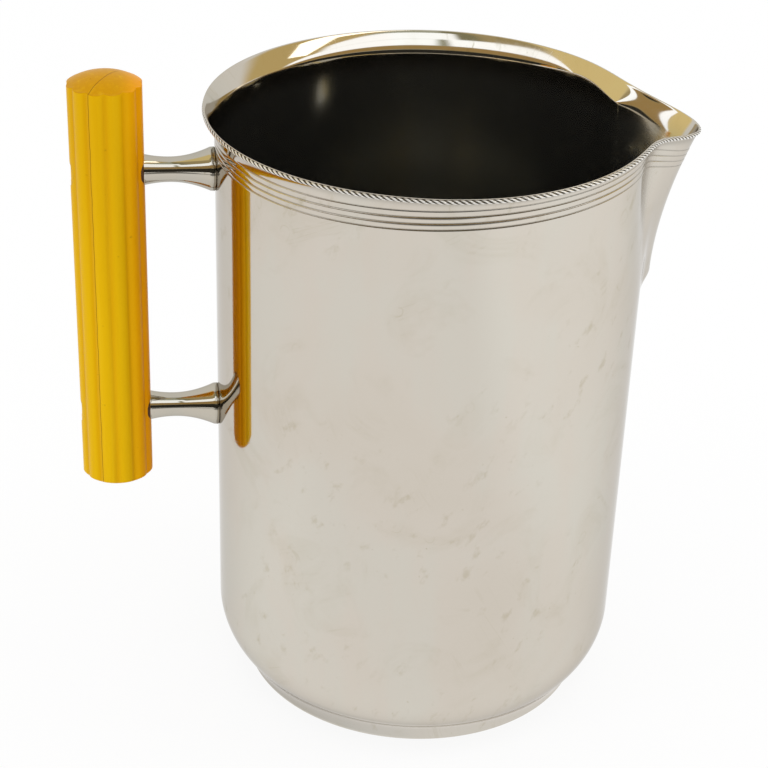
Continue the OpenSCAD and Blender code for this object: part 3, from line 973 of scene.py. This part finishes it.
@dataclass
class BarHandle:
    """Two turned struts and the reeded grip with its plugs, gaskets, screws and washers."""

    body: PitcherBody
    upper_drop: float = 18.6
    spacing: float = 77.5
    end_d: float = 9.0
    waist_d: float = 7.3
    flange_d: float = 12.8
    waist_at: float = 7.5
    land: float = 1.4
    land_edge: float = 0.2
    land_edge_h: float = 0.25
    flange_reach: float = 0.985
    end_reach: float = 0.96
    end_edge: float = 0.35
    trim_run: float = 2.0
    # Painted shade where the flange meets the wall and on the struts' undersides.
    seat_shade: float = 0.35
    seat_shade_h: float = 0.5
    underside_shade: float = 0.30
    grip_d: float = 21.6
    grip_out: float = 30.6
    under: float = 21.1
    grip_len: float = 124.8
    dome_h: float = 3.2
    reeds: int = 12
    reed_depth: float = 0.7
    reed_soft: float = 2.4
    edge: float = 0.35
    edge_reeded: int = 3
    end_clear: float = 1.0
    patch_half: float = 6.0
    patch_clear: float = 0.6
    patch_columns: int = 28
    gasket_t: float = 0.6
    spot_depth: float = 0.5
    plug_d: float = 8.6
    plug_gap: float = 0.1
    plug_sunk: float = 0.25
    plug_deep: float = 1.0
    hole_depth: float = 1.6
    hole_edge: float = 0.12
    gap: float = 0.03
    plate: PolishedPlate = field(default_factory=lambda: PolishedPlate(
        colour=(0.575, 0.535, 0.460), cool=(0.545, 0.520, 0.455), wave=0.00001, girth_r=None))

    def __post_init__(self) -> None:
        """Works out the struts' heights, the grip's axis and resin, and the reeds' round bars."""
        self.upper_z = self.body.height - self.upper_drop
        self.lower_z = self.upper_z - self.spacing
        self.low_z = self.lower_z - self.under
        self.axis_x = self.body.top_d / 2 + self.grip_out
        self.resin = CastResin(-self.axis_x * MM)
        self.grip_r = self.grip_d / 2
        self.valley_r = self.grip_r - self.reed_depth
        half = np.pi / self.reeds
        self.bar_at = ((self.grip_r ** 2 - self.valley_r ** 2)
                       / (2.0 * (self.grip_r - self.valley_r * np.cos(half))))
        self.bar_r = self.grip_r - self.bar_at
        self.dome_r = (self.grip_r ** 2 + self.dome_h ** 2) / (2.0 * self.dome_h)
        self.end_s = self.axis_x - self.valley_r + self.spot_depth - self.gasket_t

    def reed_r(self, turn: Array) -> Array:
        """Radius of the reeded outline: round bars set in a ring, softened in the valleys.

        A bar's outline at an angle t from its centre is a cos t + sqrt(r^2 - a^2 sin^2 t), and the
        outline is averaged over a narrow window so that the valleys are hollow and not sharp.

        Args:
            turn: Directions in radians.

        Returns:
            Radii in millimetres.
        """
        half = np.pi / self.reeds
        window = np.radians(np.linspace(-self.reed_soft, self.reed_soft, 13))
        weight = np.cos(window / window[-1] * np.pi / 2) + 0.05
        t = (turn[..., None] + window) % (2.0 * half) - half
        bar = self.bar_at * np.cos(t) + np.sqrt(self.bar_r ** 2 - (self.bar_at * np.sin(t)) ** 2)
        return np.sum(bar * weight, axis=-1) / np.sum(weight)

    def strut(self, name: str, z: float) -> Piece:
        """Turns one strut and trims its flange to the wall.

        The radius follows two square curves, from the waist to the flange and from the waist to the
        end, and the rows are stretched so that the last one lies on the round wall.

        Args:
            name: The piece's name.
            z: Height of the strut's axis.

        Returns:
            The strut's object.
        """
        wall = self.body.wall_r(np.array(z)) + self.gap
        flange_s = wall + self.land
        waist_s = self.end_s - self.waist_at
        waist_r, flange_r, end_r = self.waist_d / 2, self.flange_d / 2, self.end_d / 2
        share = np.linspace(0.0, 1.0, 28)[::-1]
        fall = np.linspace(0.0, 1.0, 16)[1:]
        c, s = arc(0.0, 90.0, 6)
        soft = self.end_edge
        r = np.concatenate([
            np.linspace(0.0, flange_r - self.land_edge, 6)[1:], [flange_r],
            waist_r + (flange_r - waist_r) * (share * self.flange_reach) ** 2,
            waist_r + (end_r - waist_r) * (fall * self.end_reach) ** 2,
            end_r - soft + soft * c[1:], np.linspace(end_r - soft, 0.0, 4)[1:-1]])
        along = np.concatenate([
            np.full(5, wall), [wall + self.land_edge_h],
            waist_s - (waist_s - flange_s) * share,
            waist_s + (self.end_s - soft - waist_s) * fall,
            self.end_s - soft + soft * s[1:], np.full(2, self.end_s)])[:, None]
        face = np.radians(np.arange(0.0, 360.0, 3.0))[None, :]
        across, below = r[:, None] * np.cos(face), r[:, None] * np.sin(face)
        trim_s = flange_s + self.trim_run
        near = np.clip((trim_s - along) / (trim_s - wall), 0.0, 1.0)
        x = -(along + (np.sqrt(wall ** 2 - across ** 2) - wall) * near)
        points = np.stack([x, across, z - below], axis=-1)
        # Painted shade where the flange meets the wall and on the underside.
        dull = (self.seat_shade * bell(along - wall, self.seat_shade_h)
                + self.underside_shade * np.maximum(0.0, np.sin(face)))
        draft = Draft(name)
        index = draft.lay(points, fold=dull)
        draft.weave(index)
        draft.close(index[0], np.array([-wall, 0.0, z]), last=False)
        draft.close(index[-1], np.array([-self.end_s, 0.0, z]), last=True)
        return draft.make()

    def dome(self, r: Array) -> Array:
        """Height of the domed end above the reeds' end, a sphere's cap."""
        return np.sqrt(self.dome_r ** 2 - r ** 2) - (self.dome_r - self.dome_h)

    def grip(self) -> Piece:
        """Lays the grip from pole to pole, with a round plug hole in the outer side at each strut.

        Each end is the dome carried to near the reeds' outline, a quarter round, and then the
        straight reeds. At a plug a block of the grid is left out and filled by rings that pass from
        the block's border to a circle, and then down the hole's wall to its floor.

        Returns:
            The grip's object.
        """
        turn = np.radians(np.arange(0.0, 360.0, 1.25))[None, :]
        outline = self.reed_r(turn)
        top = self.low_z + self.grip_len
        share = np.linspace(0.0, 1.0, 15)[1:, None]
        cap_r = share * (outline - self.edge)
        c, s = arc(90.0, 0.0, 9)
        edge_r = outline - self.edge + self.edge * c[1:, None]
        rim = self.dome(outline - self.edge)
        edge_z = rim - self.edge + self.edge * s[1:, None]
        low, high = self.low_z + self.edge, top - self.edge
        plug_z = np.array([self.lower_z, self.upper_z])
        around = np.linspace(-self.patch_half, self.patch_half, 17)
        patch = np.concatenate([z + around for z in plug_z])
        z_rows = np.sort(np.concatenate([np.linspace(low, high, 60), patch]))
        clear = np.abs(z_rows[:, None] - plug_z) > self.patch_half + self.patch_clear
        z_rows = z_rows[np.all(clear, axis=1) | np.isin(z_rows, patch)]
        z_rows = z_rows[(z_rows > low + self.end_clear) & (z_rows < high - self.end_clear)]
        straight_r = np.broadcast_to(outline, (len(z_rows), outline.shape[1]))
        straight_z = np.broadcast_to(z_rows[:, None], straight_r.shape)
        r = np.concatenate([cap_r, edge_r, straight_r, edge_r[::-1], cap_r[::-1]])
        z = np.concatenate([self.low_z - self.dome(cap_r), self.low_z - edge_z, straight_z,
                            top + edge_z[::-1], top + self.dome(cap_r[::-1])])
        points = revolve(r, turn, z) - np.array([self.axis_x, 0.0, 0.0])
        hollow = np.broadcast_to((self.grip_r - outline) / self.reed_depth, r.shape)
        rise = len(cap_r) + len(edge_r)
        on_cap = np.zeros(r.shape)
        dark_rows = rise - self.edge_reeded
        on_cap[:dark_rows] = on_cap[-dark_rows:] = 1.0
        draft = Draft("reeded_grip")
        # Painted shade: marks for the valleys and the domed ends.
        index = draft.lay(points, valley=hollow * (1.0 - on_cap), cap=on_cap)
        skip = np.zeros(index.shape, bool)
        left, right = (index.shape[1] // 2 + side * self.patch_columns for side in (-1, 1))
        for centre in plug_z:
            first, last = (rise + int(np.argmin(np.abs(z_rows - (centre + side * self.patch_half))))
                           for side in (-1, 1))
            skip[first:last, left:right] = True
            block = index[first:last + 1, left:right + 1]
            self.plug_hole(draft, block, points.reshape(-1, 3), centre)
        draft.weave(index, skip)
        for row, z_end in ((0, self.low_z - self.dome_h), (-1, top + self.dome_h)):
            pole = np.array([-self.axis_x, 0.0, z_end])
            draft.close(index[row], pole, last=row < 0, cap=np.ones(1))
        return draft.make()

    def plug_hole(self, draft: Draft, block: Array, points: Array, centre: float) -> None:
        """Fills a block of the grip's grid with rings round a plug's hole.

        Args:
            draft: The grip's draft.
            block: Indices of the block's points.
            points: All points of the grip's grid.
            centre: Height of the hole's centre.
        """
        ring = np.concatenate([block[0, :-1], block[:-1, -1], block[-1, :0:-1], block[:0:-1, 0]])
        border = points[ring]
        face = np.arctan2(border[:, 2] - centre, border[:, 1])
        hole_r = (self.plug_d + self.plug_gap) / 2
        circle = np.stack([hole_r * np.cos(face), centre + hole_r * np.sin(face)], axis=-1)
        share = np.linspace(0.0, 1.0, 7)[1:, None]
        y = border[:, 1] + (circle[:, 0] - border[:, 1]) * share
        z = border[:, 2] + (circle[:, 1] - border[:, 2]) * share
        x, hollow = self.outer_face(y)
        wall_x = np.stack([x[-1] + self.hole_edge, x[-1] + self.hole_depth])
        y, z = (np.concatenate([part, part[-1:], part[-1:]]) for part in (y, z))
        rows = np.stack([np.concatenate([x, wall_x]), y, z], axis=-1)
        # Painted shade: the hole's wall and floor count as deep valley.
        dark = np.concatenate([hollow, hollow[-1:] + 0.4, hollow[-1:] + 1.0])
        laid = draft.lay(rows, valley=np.clip(dark, 0.0, 1.0))
        draft.weave(np.concatenate([ring[None], laid]))
        floor = np.array([np.mean(wall_x[-1]), 0.0, centre])
        draft.close(laid[-1], floor, last=True, valley=np.ones(1))

    def outer_face(self, y: Array) -> tuple[Array, Array]:
        """The grip's outer face straight behind a point.

        Args:
            y: Distances across the grip.

        Returns:
            The face's x and its depth in the reeds as a share.
        """
        turn = np.pi - np.arcsin(np.clip(y / self.grip_r, -1.0, 1.0))
        for _ in range(4):
            turn = np.pi - np.arcsin(np.clip(y / self.reed_r(turn), -1.0, 1.0))
        r = self.reed_r(turn)
        return r * np.cos(turn) - self.axis_x, (self.grip_r - r) / self.reed_depth

    def plug(self, name: str, z: float) -> Piece:
        """Lays one plug: reeded like the grip, a little sunk, with a rounded edge.

        Args:
            name: The piece's name.
            z: Height of its centre.

        Returns:
            The plug's object.
        """
        radius = self.plug_d / 2
        share = np.concatenate([np.linspace(0.0, 0.93, 12)[1:], [0.965, 0.99, 1.0, 1.0]])[:, None]
        fall = np.concatenate([np.zeros(11), [0.03, 0.12, 0.28, self.plug_deep]])[:, None]
        face = np.radians(np.arange(0.0, 360.0, 4.0))[None, :]
        y, up = share * radius * np.cos(face), share * radius * np.sin(face)
        x, hollow = self.outer_face(y)
        points = np.stack([x + self.plug_sunk + fall, y, z + up], axis=-1)[::-1]
        draft = Draft(name)
        # Painted shade: darker in the reeds' valleys and towards the plug's sunk edge.
        index = draft.lay(points, valley=np.clip(hollow + fall * 1.5, 0.0, 1.0)[::-1])
        draft.weave(index[:, ::-1])
        pole = self.outer_face(np.zeros(1))[0][0] + self.plug_sunk
        draft.close(index[-1, ::-1], np.array([pole, 0.0, z]), last=True, valley=np.ones(1))
        draft.close(index[0, ::-1], np.array([np.mean(points[0, :, 0]), 0.0, z]), last=False)
        return draft.make()

    def build(self) -> dict[str, Piece]:
        """Makes the struts, the grip and the plugs, by the node that each replaces."""
        return {"upper_strut": self.strut("strut_upper", self.upper_z),
                "lower_strut": self.strut("strut_lower", self.lower_z),
                "grip": self.grip(),
                "upper_plug": self.plug("plug_upper", self.upper_z),
                "lower_plug": self.plug("plug_lower", self.lower_z)}

    def dress(self, pieces: Mapping[str, Piece]) -> None:
        """Gives the new pieces and the solids that stay their finishes."""
        plate, resin = self.plate.material("strut_plate"), self.resin.material("amber_resin")
        for node, piece in pieces.items():
            metal = node.endswith("strut")
            settle(piece, plate if metal else resin, node)
        fibre = PressedFibre().material("gasket_fibre")
        for where, z in (("upper", self.upper_z), ("lower", self.lower_z)):
            steel = TurnedMetal((0.42, 0.42, 0.43), (0.30, 0.29, 0.28), 0.28, z)
            brass = TurnedMetal((0.62, 0.42, 0.13), (0.42, 0.26, 0.08), 0.30, z)
            cover(f"{where}_gasket", fibre)
            cover(f"{where}_screw", steel.material(f"{where}_screw_steel"))
            cover(f"{where}_washer", brass.material(f"{where}_washer_brass"))


def settle(piece: Piece, material: Material, node: str) -> None:
    """Gives a piece its material and ties it to the frame.

    Args:
        piece: The piece.
        material: Its material.
        node: The node that it stands for.
    """
    piece.data.materials.append(material)
    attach(piece, "root")
    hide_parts(node)


def cover(node: str, material: Material) -> None:
    """Puts a material on a solid that stays.

    Args:
        node: The node's name.
        material: Its new material.
    """
    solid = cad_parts[node]
    if not solid.material_slots:
        solid.data.materials.append(material)
    for place in solid.material_slots:
        place.material = material
    log.info("%s: kept and dressed", node)


@dataclass(frozen=True)
class Side:
    """A side of the room that mirrors see, round a direction on the floor.

    A side may be a level band only, from one rise over run to another in front of the object.
    """

    turn: float
    half: float
    colour: Colour
    low: float = -9.0
    high: float = 1.0e6
    soft: float = 8.0

    def cover(self, x: Signal, y: Signal, steep: Signal) -> Signal:
        """Share of the side in a direction, eased at its borders.

        Args:
            x: Level part of the direction along X, of length 1 with y.
            y: Level part of the direction along Y.
            steep: Rise over run towards the front.

        Returns:
            The share.
        """
        turn = np.radians(self.turn)
        facing = x * float(np.cos(turn)) + y * float(np.sin(turn))
        near, far = np.cos(np.radians([self.half, min(180.0, self.half + self.soft)]))
        level = steep.step(self.low, self.low + 0.08) * steep.step(self.high * 1.05, self.high)
        return facing.step(float(far), float(near)) * level


@dataclass(frozen=True)
class Lamp:
    """A long soft lamp that hangs over the object, in metres, and whether mirrors see it."""

    name: str
    place: Colour
    share: float
    mirrored: bool
    size: tuple[float, float] = (0.35, 1.5)


@dataclass
class Studio:
    """White sweep, soft overhead lamps and the camera."""

    eye: Colour = (-80.31, -537.34, 394.08)
    heading: float = 7.2395
    dip: float = 28.831
    roll: float = 2.1085
    lens: float = 94.04
    sensor: float = 36.0
    floor_half: float = 6.0
    floor_drop: float = 0.3
    floor_glow: float = 0.88
    floor_matt: Colour = (0.93, 0.93, 0.93)
    # Painted shadow and painted dark reflection on the floor, which only mirrors see.
    floor_mirrored_shadow: Colour = (0.922, 0.910, 0.905)
    floor_mirrored_dark: Colour = (0.05, 0.045, 0.035)
    white: Colour = (1.0, 1.0, 1.0)
    ambient: float = 0.97
    lamp_power: float = 2.5
    lamp_aim: Colour = (0.0, 0.0, 0.1)
    lamp_set: tuple[Lamp, ...] = (
        Lamp("lamp_left", (-0.75, -0.35, 1.5), 0.8, False),
        Lamp("lamp_right", (0.85, -0.15, 1.5), 1.2, True))
    room: Colour = (0.84, 0.835, 0.81)
    sides: tuple[Side, ...] = (
        Side(-78.0, 40.0, (0.50, 0.51, 0.41), soft=14.0),
        Side(-122.0, 14.0, (0.28, 0.26, 0.15), soft=10.0),
        Side(-10.0, 26.0, (0.64, 0.49, 0.21), soft=14.0),
        Side(-150.0, 12.0, (0.46, 0.37, 0.19), soft=12.0),
        Side(172.0, 16.0, (0.88, 0.71, 0.33), soft=12.0),
        Side(-90.0, 90.0, (0.030, 0.028, 0.022), high=0.42),
        Side(-90.0, 80.0, (0.42, 0.28, 0.11), low=0.42, high=0.85),
        Side(-70.0, 40.0, (1.5, 1.57, 1.68), low=1.5, high=2.25),
        Side(-54.0, 40.0, (1.5, 1.57, 1.68), low=0.85, high=1.5),
        Side(-143.0, 33.0, (1.5, 1.57, 1.68), low=0.85, high=1.55))

    def camera(self) -> None:
        """Sets the camera: it looks along the heading, dipped and rolled, from the eye's place."""
        h, d, r = np.radians([self.heading, self.dip, self.roll])
        ahead = np.array([np.sin(h) * np.cos(d), np.cos(h) * np.cos(d), -np.sin(d)])
        level = np.array([np.cos(h), -np.sin(h), 0.0])
        above = np.cross(level, ahead)
        right = np.cos(r) * level + np.sin(r) * above
        up = np.cos(r) * above - np.sin(r) * level
        data = bpy.data.cameras.new("camera")
        data.lens, data.sensor_width, data.sensor_fit = self.lens, self.sensor, "HORIZONTAL"
        eye = bpy.data.objects.new("camera", data)
        turn = Matrix((right, up, -ahead)).transposed().to_4x4()
        eye.matrix_world = Matrix.Translation(Vector(self.eye) * MM) @ turn
        bpy.context.scene.collection.objects.link(eye)
        bpy.context.scene.camera = eye

    def floor(self) -> None:
        """Lays the pale floor, near white with a soft shadow; mirrors alone see a painted shadow
        beside the object and a painted dark reflection far in front.
        """
        side = np.linspace(-self.floor_half / MM, self.floor_half / MM, 5)
        x, y = np.meshgrid(side, side)
        level = np.full_like(x, -self.floor_drop)
        draft = Draft("floor")
        draft.weave(draft.lay(np.stack([x, y, level], axis=-1)), columns_closed=False)
        plane = draft.make()
        made = bpy.data.materials.new("floor_white")
        made.use_nodes = True
        kit = NodeKit(made.node_tree)
        path = kit.node("ShaderNodeLightPath")
        glossy = kit.signal(path, "Is Glossy Ray")
        seen = kit.signal(path, "Is Camera Ray").most(glossy)
        matt = kit.node("ShaderNodeBsdfDiffuse", None, {"Color": (*self.floor_matt, 1.0)})
        x, y, _ = kit.axes()
        # Seen by mirrors only: a painted dark reflection far in front, and a painted shadow beside
        # the object towards the front and the handle.
        ahead = y.step(-0.52, -0.64) * abs(x).step(0.80, 0.55) * glossy
        mirrored_shadow = y.step(0.02, -0.14).most(x.step(-0.08, -0.25)) * x.step(0.20, 0.06) * glossy
        sheet = kit.blend(mirrored_shadow, self.white, self.floor_mirrored_shadow)
        glow = kit.node("ShaderNodeEmission", None, {
            "Color": kit.blend(ahead * 0.9, sheet, self.floor_mirrored_dark), "Strength": 1.0})
        mixed = kit.node("ShaderNodeMixShader", None,
                         {0: seen * self.floor_glow, 1: matt.outputs[0], 2: glow.outputs[0]})
        kit.node("ShaderNodeOutputMaterial", None, {"Surface": mixed.outputs[0]})
        plane.data.materials.append(made)

    def world(self) -> None:
        """Makes the surroundings: white to the eye, and for mirrors a warm room with sides."""
        world = bpy.data.worlds.new("studio")
        bpy.context.scene.world = world
        world.use_nodes = True
        kit = NodeKit(world.node_tree)
        path = kit.node("ShaderNodeLightPath")
        glossy = kit.signal(path, "Is Glossy Ray")
        through = kit.signal(path, "Is Transmission Ray")
        seen = kit.signal(path, "Is Camera Ray").most(glossy).most(through)
        x, y, level = kit.axes(kit.node("ShaderNodeTexCoord").outputs["Generated"])
        flat = (x * x + y * y).most(0.0001) ** 0.5
        steep = level / (0.0 - y).most(0.0005)
        tone: Any = self.room
        for side in self.sides:
            tone = kit.blend(side.cover(x / flat, y / flat, steep), tone, side.colour)
        tone = kit.blend(glossy, self.white, tone)
        strength = self.ambient + seen * (1.0 - self.ambient)
        back = kit.node("ShaderNodeBackground", None, {"Color": tone, "Strength": strength})
        kit.node("ShaderNodeOutputWorld", None, {"Surface": back.outputs[0]})

    def lamps(self) -> None:
        """Hangs the lamps, turned towards a point above the floor's middle."""
        for lamp in self.lamp_set:
            data = bpy.data.lights.new(lamp.name, "AREA")
            data.shape = "RECTANGLE"
            data.size, data.size_y = lamp.size
            data.energy = self.lamp_power * lamp.share
            hung = bpy.data.objects.new(lamp.name, data)
            hung.location = lamp.place
            hung.visible_glossy = lamp.mirrored
            aim = Vector(self.lamp_aim) - Vector(lamp.place)
            hung.rotation_euler = aim.to_track_quat("-Z", "Y").to_euler()
            bpy.context.scene.collection.objects.link(hung)

    def set_up(self) -> None:
        """Makes the whole studio."""
        bpy.context.scene.view_settings.view_transform = "Standard"
        self.camera()
        self.floor()
        self.world()
        self.lamps()


def main() -> None:
    """Builds and dresses the sub-assemblies in order."""
    logging.basicConfig(level=logging.INFO, format="%(message)s")
    Studio().set_up()
    body = PitcherBody()
    for part in (body, FootRing(body), RopeEdge(body), BarHandle(body)):
        part.dress(part.build())
        log.info("%s: dressed", type(part).__name__)


if __name__ == "__main__":
    main()
